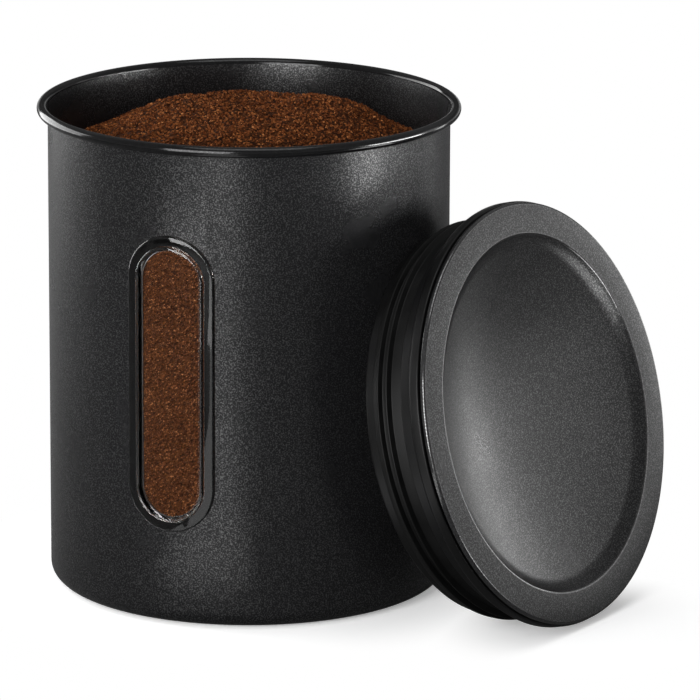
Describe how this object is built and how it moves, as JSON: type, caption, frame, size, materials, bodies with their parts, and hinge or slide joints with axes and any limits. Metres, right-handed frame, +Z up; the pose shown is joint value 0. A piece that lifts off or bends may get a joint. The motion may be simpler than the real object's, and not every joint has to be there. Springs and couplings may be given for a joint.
{
  "type": "coffee canister",
  "caption": "Round black steel coffee canister with a tall clear window, a rolled rim, and a dished plug-in lid with a silicone seal, taken off and leaning beside it.",
  "frame": {"origin": "centre of the can's underside, on the surface that it stands on", "axes": "+Z up along the can's axis, the window looks along -Y, and the lid stands on the +X side"},
  "size_m": [0.1975, 0.1447, 0.158],
  "materials": {
    "coated_steel": "fine-textured matt black powder coat",
    "base_steel": "matt black coat",
    "clear_plastic": "clear moulded plastic",
    "black_plastic": "moulded black plastic, satin",
    "black_silicone": "soft black silicone"
  },
  "bodies": {
    "can": {"can_wall": "coated_steel", "base_panel": "base_steel", "window_pane": "clear_plastic", "window_gasket": "black_silicone", "window_retainer": "black_plastic"},
    "lid": {"lid_top": "coated_steel", "lid_plug": "black_plastic", "lid_seal": "black_silicone"}
  },
  "joints": [
    {"name": "lid_tip", "type": "hinge", "parent": "can", "child": "lid", "pos_m": [0.12208, -0.01272, 0.0022], "axis": [0.2028, 0.9792, 0], "range_deg": [0, 104.95]}
  ]
}
